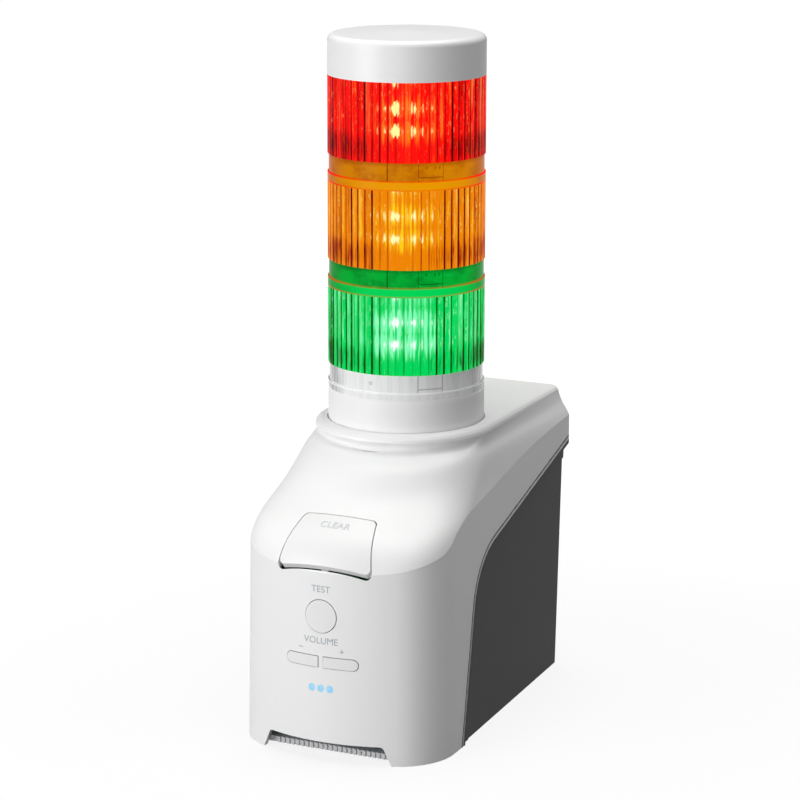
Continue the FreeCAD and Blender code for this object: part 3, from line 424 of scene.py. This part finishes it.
    # glints: upright flecks on the ribs' crests
    fleck_place = t.combine(t.calc("MULTIPLY", turn, 3.2), seed, t.calc("MULTIPLY", level, 7.0))
    flecks = t.noise(fleck_place, 1.5, 3.0, 0.7)
    flecks = t.smooth(flecks, 0.56, 0.70)
    crest = t.smooth(t.calc("ABSOLUTE", t.calc("SUBTRACT", valley, 0.16)), 0.02, 0.16, 1.0, 0.15)
    long = t.calc("MULTIPLY", t.smooth(third_own, 0.60, 0.85), streaks(1.3, 2.2, 2.0))
    from_edge = t.calc("ABSOLUTE", t.calc("SUBTRACT", aside, 0.74))
    long = t.calc("MULTIPLY", long, t.smooth(from_edge, 0.04, 0.34, 1.0, 0.15))
    glints = t.calc("MAXIMUM", t.calc("MULTIPLY", flecks, crest), t.calc("MULTIPLY", long, crest))
    glints = t.calc("MULTIPLY", glints, t.smooth(level, 0.22, 0.5, 0.25, 1.0))
    t.join(glints, out.inputs["Glints"])
    return group


LENS = make_lens_group()


def make_latch_group():
    """Latch outlines, three times round the tower: two upright sides and a foot.

    Latch: 1 on the outline. Third: the place within a third of the way round, from -0.5 to 0.5.
    From Latch: the distance from the latch's middle, in the same measure.
    """
    group, t, given, out = new_group(
        "latch_outline",
        [("Rise", "NodeSocketFloat", 0.0), ("Line Core", "NodeSocketFloat", 0.0015),
         ("Line Edge", "NodeSocketFloat", 0.0045)],
        [("Latch", "NodeSocketFloat"), ("Third", "NodeSocketFloat"), ("From Latch", "NodeSocketFloat")])
    x, y, _ = t.split(t.place())
    away = t.calc("SUBTRACT", t.calc("ARCTAN2", y, x), LIT_SIDE)
    part = t.calc("FRACT", t.calc("ADD", t.calc("DIVIDE", away, TURN_THIRD), 3.5))
    third = t.calc("SUBTRACT", part, 0.5)
    from_latch = t.calc("ABSOLUTE", t.calc("SUBTRACT", third, LATCH_MIDDLE))
    from_side = t.calc("ABSOLUTE", t.calc("SUBTRACT", from_latch, LATCH_HALF))
    side = t.smooth(from_side, given.outputs["Line Core"], given.outputs["Line Edge"], 1.0, 0.0)
    from_foot = t.calc("ABSOLUTE", t.calc("SUBTRACT", given.outputs["Rise"], LATCH_FOOT))
    foot = t.smooth(from_foot, 0.0001, 0.0003, 1.0, 0.0)
    foot = t.calc("MULTIPLY", foot, t.calc("LESS_THAN", from_latch, LATCH_HALF))
    t.join(t.calc("MAXIMUM", side, foot), out.inputs["Latch"])
    t.join(third, out.inputs["Third"])
    t.join(from_latch, out.inputs["From Latch"])
    return group


def make_neck_group():
    """Band and neck above a skirt, as shares for mixing colours in this order.

    Cloud and Sides: the deep tint, in patches and towards the sides. Pale: bright patches in front.
    Marks: slits, latches and teeth. Shade: the dark strip under the next skirt. Band: the plain band.
    Edges: the lines of light at the band's foot and top.
    """
    group, t, given, out = new_group(
        "neck_light",
        [("Skirt Foot", "NodeSocketFloat", 0.0), ("Latch", "NodeSocketFloat", 0.0),
         ("Third", "NodeSocketFloat", 0.0), ("From Latch", "NodeSocketFloat", 0.0)],
        [("Cloud", "NodeSocketFloat"), ("Sides", "NodeSocketFloat"), ("Pale", "NodeSocketFloat"),
         ("Marks", "NodeSocketFloat"), ("Shade", "NodeSocketFloat"), ("Band", "NodeSocketFloat"),
         ("Edges", "NodeSocketFloat")])
    foot = given.outputs["Skirt Foot"]
    x, y, z = t.split(t.place())
    away = t.calc("SUBTRACT", t.calc("ARCTAN2", y, x), LIT_SIDE)
    side = t.calc("ABSOLUTE", t.calc("COSINE", away))
    rise = t.calc("SUBTRACT", z, t.calc("ADD", foot, SKIRT))
    cloud_place = t.combine(t.calc("MULTIPLY", away, 3.0), t.calc("MULTIPLY", rise, 160.0), foot)
    t.join(t.smooth(t.noise(cloud_place, 1.0, 3.0, 0.55), 0.40, 0.72, 0.0, 0.6), out.inputs["Cloud"])
    t.join(t.smooth(side, 0.0, 0.75, 0.85, 0.0), out.inputs["Sides"])
    pale_place = t.combine(t.calc("MULTIPLY", away, 9.0), t.calc("MULTIPLY", rise, 700.0), foot)
    pale = t.smooth(t.noise(pale_place, 1.0, 2.0), 0.60, 0.72, 0.0, 0.45)
    t.join(t.calc("MULTIPLY", pale, t.smooth(side, 0.6, 1.0)), out.inputs["Pale"])
    from_slit = t.calc("ABSOLUTE", t.calc("ADD", given.outputs["Third"], SLIT_PLACE))
    slit = t.smooth(from_slit, 0.0015, 0.0045, 1.0, 0.0)
    teeth = t.smooth(t.noise_line(t.calc("MULTIPLY", away, 18.0), 1.0, 1.0), 0.50, 0.62)
    from_teeth = t.calc("ABSOLUTE", t.calc("SUBTRACT", rise, BAND + 0.0052))
    teeth = t.calc("MULTIPLY", teeth, t.smooth(from_teeth, 0.0004, 0.0008, 0.5, 0.0))
    teeth = t.calc("MULTIPLY", teeth, t.calc("LESS_THAN", given.outputs["From Latch"], 0.10))
    marks = t.calc("MAXIMUM", slit, t.calc("MULTIPLY", given.outputs["Latch"], 0.6))
    marks = t.calc("MAXIMUM", marks, teeth)
    t.join(t.calc("MULTIPLY", marks, t.calc("GREATER_THAN", rise, BAND)), out.inputs["Marks"])
    t.join(t.smooth(rise, BAND + 0.0050, BAND + 0.0070, 0.0, 0.6), out.inputs["Shade"])
    in_band = t.smooth(rise, BAND - 0.0002, BAND + 0.0001, 1.0, 0.0)
    t.join(t.calc("MULTIPLY", in_band, t.smooth(side, 0.35, 1.0, 0.15, 0.95)), out.inputs["Band"])
    foot_line = t.calc("ABSOLUTE", t.calc("SUBTRACT", rise, 0.0002))
    top_line = t.calc("ABSOLUTE", t.calc("SUBTRACT", rise, BAND + 0.0001))
    line = t.smooth(t.calc("MINIMUM", foot_line, top_line), 0.00018, 0.00048, 1.0, 0.0)
    t.join(t.calc("MULTIPLY", line, t.smooth(side, 0.3, 1.0, 1.0, 0.35)), out.inputs["Edges"])
    return group


LATCHES = make_latch_group()
NECK = make_neck_group()


def add_latches(t, rise, core, edge):
    """Places the latch group, with the half width of its line's core and of its soft edge."""
    group = t.node("ShaderNodeGroup", node_tree=LATCHES)
    t.join(rise, group.inputs["Rise"])
    group.inputs["Line Core"].default_value = core
    group.inputs["Line Edge"].default_value = edge
    return group


def neck_finish(t, foot, colours):
    """Band and neck above a skirt: even tint, catch marks and bright lines of light at their edges."""
    tint, deep, band_colour, line_colour = colours
    rise = t.calc("SUBTRACT", t.split(t.place())[2], foot + SKIRT)
    latches = add_latches(t, rise, 0.0012, 0.0040)
    group = t.node("ShaderNodeGroup", node_tree=NECK)
    group.inputs["Skirt Foot"].default_value = foot
    for label in ("Latch", "Third", "From Latch"):
        t.join(latches.outputs[label], group.inputs[label])
    shares = group.outputs
    colour = t.mix(shares["Cloud"], tint, deep)
    colour = t.mix(shares["Sides"], colour, deep)
    colour = t.mix(shares["Pale"], colour, band_colour)
    colour = t.mix(shares["Marks"], colour, t.mix(0.5, deep, (0, 0, 0, 1)))
    colour = t.mix(shares["Shade"], colour, deep)
    colour = t.mix(shares["Band"], colour, band_colour)
    return t.mix(shares["Edges"], colour, line_colour)


def lens(name, node, seed, halo, skirt, neck):
    """A lit, tinted globe: deep colour in the shade of the ribs, bright body, hot spots, duller neck."""
    black, deep, body_colour, bright, hot = skirt
    material, t, shader = new_material(name)
    low = TIERS[node][0].z
    group = t.node("ShaderNodeGroup", node_tree=LENS)
    group.inputs["Skirt Foot"].default_value = low
    group.inputs["Seed"].default_value = seed
    tone, glow, spots, glints = group.outputs
    colour = t.mix(t.smooth(tone, -0.14, 0.16), black, deep)
    colour = t.mix(t.smooth(tone, 0.12, 0.56), colour, body_colour)
    colour = t.mix(t.smooth(tone, 0.68, 1.0, 0.0, 0.8), colour, bright)
    lit = t.calc("MULTIPLY", glow, t.calc("ADD", 0.35, t.calc("MULTIPLY", tone, 1.2)))
    colour = t.mix(t.smooth(t.calc("MULTIPLY", lit, halo), 0.15, 1.05), colour, bright)
    colour = t.mix(t.calc("MULTIPLY", glints, 0.85), colour, t.mix(0.3, bright, hot))
    colour = t.mix(t.smooth(spots, 0.26, 0.74), colour, hot)
    above = t.calc("GREATER_THAN", t.split(t.place())[2], low + SKIRT)
    colour = t.mix(above, colour, neck_finish(t, low, neck))
    t.join(colour, shader.inputs["Emission Color"])
    shader.inputs["Emission Strength"].default_value = 1.0
    t.join(t.mix(0.97, colour, (0, 0, 0, 1)), shader.inputs["Base Color"])
    t.join(t.calc("ADD", 0.18, t.calc("MULTIPLY", tone, 0.12)), shader.inputs["Roughness"])
    shader.inputs["Specular IOR Level"].default_value = 0.02
    return material


def make_glow_group():
    """Light of a small lit part: its colour, a little whiter in patches."""
    group, t, given, out = new_group(
        "uneven_light",
        [("Colour", "NodeSocketColor", (1, 1, 1, 1))],
        [("Colour", "NodeSocketColor")])
    cloud = t.noise(t.place(), 600.0, 2.0)
    patches = t.smooth(cloud, 0.3, 0.8, 0.0, 0.25)
    t.join(t.mix(patches, given.outputs["Colour"], (1, 1, 1, 1)), out.inputs["Colour"])
    return group


UNEVEN = make_glow_group()


def glowing(name, colour, strength, base):
    """A small lit part whose light is a little uneven over its face."""
    material, t, shader = new_material(name)
    group = t.node("ShaderNodeGroup", node_tree=UNEVEN)
    group.inputs["Colour"].default_value = colour
    t.join(group.outputs["Colour"], shader.inputs["Emission Color"])
    shader.inputs["Emission Strength"].default_value = strength
    shader.inputs["Base Color"].default_value = base
    shader.inputs["Roughness"].default_value = 0.3
    return material


def clear_plastic(name):
    """The clear coupling ring over a pale part: bright in front, with painted shade that greys it in
    streaks towards its sides, a latch outline, a moulding dot and painted highlights along the edges of its
    steps."""
    material, t, shader = new_material(name)
    low = TIERS["clear_ring"][0].z
    x, y, z = t.split(t.place())
    away = t.calc("SUBTRACT", t.calc("ARCTAN2", y, x), LIT_SIDE)
    aside = t.calc("ABSOLUTE", t.calc("SINE", away))
    rise = t.calc("SUBTRACT", z, low)
    streak_place = t.combine(t.calc("MULTIPLY", away, 14.0), t.calc("MULTIPLY", z, 40.0), 0.0)
    streak = t.noise(streak_place, 1.0, 3.0, 0.6)
    colour = t.mix(t.smooth(streak, 0.35, 0.72, 0.0, 0.35), srgb(244, 244, 245), srgb(206, 207, 210))
    # painted shade: the ring greys in streaks towards its sides, away from the lit side
    shade = t.smooth(streak, 0.30, 0.60, 0.40, 1.0)
    shade = t.calc("MULTIPLY", t.smooth(aside, 0.72, 1.0), shade)
    colour = t.mix(shade, colour, srgb(96, 97, 102))
    latches = add_latches(t, rise, 0.0015, 0.0045)
    across = t.calc("MULTIPLY", t.calc("ADD", latches.outputs["Third"], 0.225), 0.062)
    upward = t.calc("SUBTRACT", rise, BAND + 0.0035)
    dot = t.calc("SQRT", t.calc("ADD", t.calc("POWER", across, 2.0), t.calc("POWER", upward, 2.0)))
    dot = t.smooth(t.calc("ABSOLUTE", t.calc("SUBTRACT", dot, 0.0005)), 0.0001, 0.0003, 0.8, 0.0)
    marks = t.calc("MAXIMUM", latches.outputs["Latch"], dot)
    marks = t.calc("MULTIPLY", marks, t.calc("GREATER_THAN", rise, BAND + 0.0003))
    colour = t.mix(t.calc("MULTIPLY", marks, 0.7), colour, srgb(140, 141, 146))
    # painted highlights: pale lines along the edges of the ring's steps
    step = t.calc("MINIMUM", t.calc("ABSOLUTE", t.calc("SUBTRACT", rise, BAND)),
                  t.calc("ABSOLUTE", t.calc("SUBTRACT", rise, 0.0004)))
    colour = t.mix(t.smooth(step, 0.0003, 0.0006, 0.9, 0.0), colour, srgb(250, 250, 251))
    t.join(colour, shader.inputs["Base Color"])
    t.join(t.calc("ADD", 0.12, t.calc("MULTIPLY", streak, 0.1)), shader.inputs["Roughness"])
    shader.inputs["Coat Weight"].default_value = 0.5
    return material


WHITE = srgb(246, 246, 246)
MATERIALS = {
    "white_shell": shell("white_shell_plastic", WHITE, 0.0, 0.42, 0.02, 3200.0, 0.04),
    "white_cap": moulded("white_cap_plastic", WHITE, 0.38, 0.02, 3200.0, 0.03),
    "white_collar": moulded("white_collar_plastic", WHITE, 0.38, 0.02, 3200.0, 0.03),
    "white_keys": moulded("white_key_plastic", srgb(241, 241, 241), 0.36, 0.02, 3600.0, 0.03),
    # the dark shell has a painted highlight on its rim along the joint
    "dark_shell": shell("dark_shell_plastic", srgb(48, 47, 49), 1.0, 0.5, 0.06, 2600.0, 0.12, 0.0, 0.12),
    # raised letters a little greyer than the key: painted shade for their raised edges
    "raised_letters": moulded("raised_letter_painted_shade", srgb(216, 217, 219), 0.4),
    "cover_grey": moulded("cover_plastic", srgb(200, 200, 202), 0.5),
    "black_plastic": moulded("black_socket_plastic", srgb(30, 30, 31), 0.4),
    "terminal_green": moulded("terminal_plastic", srgb(40, 120, 70), 0.45),
    "rubber": moulded("foot_rubber", srgb(32, 32, 33), 0.8),
    "switch": moulded("switch_plastic", srgb(25, 25, 26), 0.45),
    "board": moulded("lamp_board_mask", srgb(230, 232, 228), 0.4),
    "main_board": moulded("board_mask", srgb(20, 90, 50), 0.35),
    "speaker_frame": moulded("basket_paint", srgb(35, 35, 36), 0.4),
    "speaker_paper": moulded("cone_paper", srgb(45, 44, 43), 0.85),
    "magnet": metal("magnet_iron", srgb(110, 110, 112), 0.5),
    "connector_metal": metal("jack_shield", srgb(190, 190, 192), 0.3),
    "steel": metal("screw_steel", srgb(180, 180, 182), 0.3),
    "brass": metal("insert_brass", srgb(205, 170, 100), 0.3),
    "clear_lens": clear_plastic("clear_ring_plastic"),
    "red_lens": lens("red_globe_plastic", "red_globe", 3.0, 0.6,
                     (srgb(58, 0, 0), srgb(160, 0, 0), srgb(255, 12, 8), srgb(255, 118, 24),
                      srgb(255, 250, 160)),
                     (srgb(190, 14, 4), srgb(120, 6, 0), srgb(225, 24, 6), srgb(255, 34, 6))),
    "amber_lens": lens("amber_globe_plastic", "amber_globe", 11.0, 0.85,
                       (srgb(72, 6, 0), srgb(164, 40, 0), srgb(238, 132, 0), srgb(255, 204, 24),
                        srgb(255, 252, 176)),
                       (srgb(206, 126, 0), srgb(160, 66, 0), srgb(232, 152, 0), srgb(250, 26, 0))),
    "green_lens": lens("green_globe_plastic", "green_globe", 23.0, 1.35,
                       (srgb(0, 34, 2), srgb(0, 104, 14), srgb(0, 214, 92), srgb(130, 255, 184),
                        srgb(252, 255, 254)),
                       (srgb(0, 168, 50), srgb(0, 96, 26), srgb(0, 212, 88), srgb(176, 96, 6))),
    "red_lamp": glowing("red_lamp_light", srgb(255, 60, 40), 1.0, (0.3, 0.02, 0.02, 1)),
    "amber_lamp": glowing("amber_lamp_light", srgb(255, 180, 40), 1.0, (0.3, 0.15, 0.02, 1)),
    "green_lamp": glowing("green_lamp_light", srgb(60, 255, 140), 1.0, (0.02, 0.3, 0.1, 1)),
    "status_guide": glowing("status_guide_light", srgb(140, 206, 240), 0.9, (0.02, 0.05, 0.07, 1)),
    "status_lamp": glowing("status_lamp_light", srgb(120, 200, 255), 1.0, (0.02, 0.05, 0.07, 1)),
}

for part in frame["record"]["subparts"]:
    holder = nodes[part["node"]]
    holder.data.materials.clear()
    holder.data.materials.append(MATERIALS[part["material_slot"]])


# ---------------------------------------------------------------- printed words

CAPITALS = 0.72          # height of a capital letter as a share of the font's size
PRINT_HEIGHT = 0.0026    # height of the printed capitals
PRINT_DEPTH = 0.00003    # thickness of the ink, and its lift off the plastic


def letters(text, name, height, thickness):
    """A word as a mesh: letters in the XY plane round their middle, with a thickness along Z."""
    curve = bpy.data.curves.new(name + "_outline", "FONT")
    curve.body = text
    curve.align_x = "CENTER"
    curve.align_y = "CENTER"
    curve.size = height / CAPITALS
    curve.extrude = thickness / 2
    curve.resolution_u = 6
    holder = bpy.data.objects.new(name + "_holder", curve)
    bpy.context.scene.collection.objects.link(holder)
    bpy.context.view_layer.update()
    mesh = bpy.data.meshes.new_from_object(holder.evaluated_get(bpy.context.evaluated_depsgraph_get()))
    bpy.data.objects.remove(holder)
    return mesh


def set_piece(mesh, name, material, body):
    piece = bpy.data.objects.new(name, mesh)
    bpy.context.scene.collection.objects.link(piece)
    mesh.materials.clear()
    mesh.materials.append(material)
    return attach(piece, body)


def read_array(items, field, kind):
    """One row of three numbers for each vertex or triangle."""
    out = np.empty(len(items) * 3, kind)
    items.foreach_get(field, out)
    return out.reshape(-1, 3)


def lay_on(node, mesh, middle, up, lift):
    """Drops flat letters on to a CAD node, looking square to the up direction.

    A point that lies s and t of the way along a facet's two edges from its corner a takes the height
    a + s * (b - a) + t * (c - a), and the highest facet counts.
    """
    axes = np.array([(1, 0, 0), up, (0, -up[2], up[1])])
    shape = nodes[node].data
    shape.calc_loop_triangles()
    points = (read_array(shape.vertices, "co", np.float32) - middle) @ axes.T
    facets = points[read_array(shape.loop_triangles, "vertices", np.int32)]
    flat = read_array(mesh.vertices, "co", np.float32).astype(float)
    span = facets[:, :, :2]
    near = (span.min(1) < flat[:, :2].max(0)).all(1) & (span.max(1) > flat[:, :2].min(0)).all(1)
    corner, first, second = facets[near].transpose(1, 0, 2)
    first = first - corner
    second = second - corner
    area = first[:, 0] * second[:, 1] - first[:, 1] * second[:, 0]
    faces_out = area > 1e-12
    corner, first, second = corner[faces_out], first[faces_out], second[faces_out]
    area = area[faces_out]
    away = flat[:, None, :2] - corner[None, :, :2]
    s = (away[..., 0] * second[:, 1] - away[..., 1] * second[:, 0]) / area
    t = (away[..., 1] * first[:, 0] - away[..., 0] * first[:, 1]) / area
    over = (s > -1e-4) & (t > -1e-4) & (s + t < 1.0001)
    height = np.where(over, corner[:, 2] + s * first[:, 2] + t * second[:, 2], -1.0).max(1)
    flat[:, 2] += height + lift
    mesh.vertices.foreach_set("co", (middle + flat @ axes).astype(np.float32).ravel())


def printed_word(text, name, x, z):
    """A word printed on the nose's bowed face."""
    mesh = letters(text, name, PRINT_HEIGHT, PRINT_DEPTH)
    lay_on("front_housing", mesh, np.array([x, -0.07, z]), (0, 0, 1), PRINT_DEPTH)
    set_piece(mesh, name, INK, "unit")


def raised_word(text, name, height):
    """A word raised a little on the CLEAR key's bent face, in a greyer plastic that paints the shade along
    its raised edges.
    """
    low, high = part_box("clear_button")
    mesh = letters(text, name, height, 0.00025)
    share = 0.66
    middle = np.array([0, low.y + share * (high.y - low.y), low.z + share * (high.z - low.z)])
    slant = math.sqrt(0.5)
    lay_on("clear_button", mesh, middle, (0, slant, slant), 0.00005)
    set_piece(mesh, name, MATERIALS["raised_letters"], "clear_key")


INK = moulded("print_ink", srgb(168, 174, 182), 0.5, 0.05, 3000.0, 0.02)
printed_word("TEST", "test_word", 0.0, 0.0665)
printed_word("VOLUME", "volume_word", 0.0, 0.0467)
printed_word("−", "minus_sign", -0.0085, 0.0432)
printed_word("+", "plus_sign", 0.0085, 0.0432)
raised_word("CLEAR", "clear_word", 0.0030)


# ---------------------------------------------------------------- floor, light and camera

def make_floor():
    """A wide pale floor that shows white to the camera and keeps the part's shadow."""
    corners = 4.0 * np.array([[-1, -1, 0], [1, -1, 0], [1, 1, 0], [-1, 1, 0]], float)
    mesh = bpy.data.meshes.new("floor")
    mesh.from_pydata(corners.tolist(), [], [(0, 1, 2, 3)])
    floor = bpy.data.objects.new("floor", mesh)
    bpy.context.scene.collection.objects.link(floor)
    material, t, shader = new_material("floor_paper")
    cloud = t.noise(t.place(), 2.0, 2.0)
    t.join(t.mix(cloud, (0.15, 0.15, 0.15, 1), (0.17, 0.17, 0.17, 1)), shader.inputs["Base Color"])
    shader.inputs["Roughness"].default_value = 0.9
    shader.inputs["Specular IOR Level"].default_value = 0.0
    shader.inputs["Emission Color"].default_value = (1, 1, 1, 1)
    paths = t.node("ShaderNodeLightPath")
    seen = t.calc("MAXIMUM", paths.outputs["Is Camera Ray"], paths.outputs["Is Glossy Ray"])
    seen = t.calc("MAXIMUM", seen, paths.outputs["Is Transmission Ray"])
    x, y, _ = t.split(t.place())
    distance = t.calc("SQRT", t.calc("ADD", t.calc("MULTIPLY", x, x), t.calc("MULTIPLY", y, y)))
    strength = t.calc("MULTIPLY", seen, t.smooth(distance, 0.12, 0.6, 0.84, 1.0))
    t.join(strength, shader.inputs["Emission Strength"])
    mesh.materials.append(material)


def make_world():
    world = bpy.data.worlds.new("studio")
    bpy.context.scene.world = world
    world.use_nodes = True
    t = Tree(world.node_tree)
    back = world.node_tree.nodes["Background"]
    back.inputs["Color"].default_value = (1, 1, 1, 1)
    paths = t.node("ShaderNodeLightPath")
    seen = t.calc("MAXIMUM", paths.outputs["Is Camera Ray"], paths.outputs["Is Transmission Ray"])
    strength = t.calc("ADD", 0.06, t.calc("MULTIPLY", seen, 0.94))
    t.join(strength, back.inputs["Strength"])


def add_lamp(name, place, target, width, height, power):
    light = bpy.data.lights.new(name, "AREA")
    light.shape = "RECTANGLE"
    light.size = width
    light.size_y = height
    light.energy = power
    holder = bpy.data.objects.new(name, light)
    bpy.context.scene.collection.objects.link(holder)
    holder.location = place
    way = Vector(target) - Vector(place)
    holder.rotation_euler = way.to_track_quat("-Z", "Y").to_euler()


def make_camera():
    """Long-lens view from the front right, a little above the part."""
    camera = bpy.data.cameras.new("camera")
    camera.sensor_width = 36.0
    camera.lens = 135.8
    camera.clip_end = 50.0
    holder = bpy.data.objects.new("camera", camera)
    bpy.context.scene.collection.objects.link(holder)
    bpy.context.scene.camera = holder
    azimuth = math.radians(25.52)
    distance = 1.132
    holder.location = (distance * math.sin(azimuth), -distance * math.cos(azimuth), 0.3894)
    pitch = math.radians(13.25)
    yaw = math.radians(-0.12)
    turn = Matrix.Rotation(azimuth - yaw, 4, "Z") @ Matrix.Rotation(math.pi / 2 - pitch, 4, "X")
    holder.rotation_euler = (turn @ Matrix.Rotation(math.radians(0.10), 4, "Z")).to_euler()


make_floor()
make_world()
centre = (0.0, 0.0, 0.12)
add_lamp("key_light", (-0.75, -1.2, 0.22), centre, 0.8, 0.8, 15.2)
add_lamp("top_light", (0.05, 0.15, 1.35), centre, 1.15, 1.15, 16.4)
add_lamp("front_light", (0.3, -1.5, 0.28), centre, 0.7, 0.7, 5.8)
make_camera()
bpy.context.scene.view_settings.view_transform = "Standard"
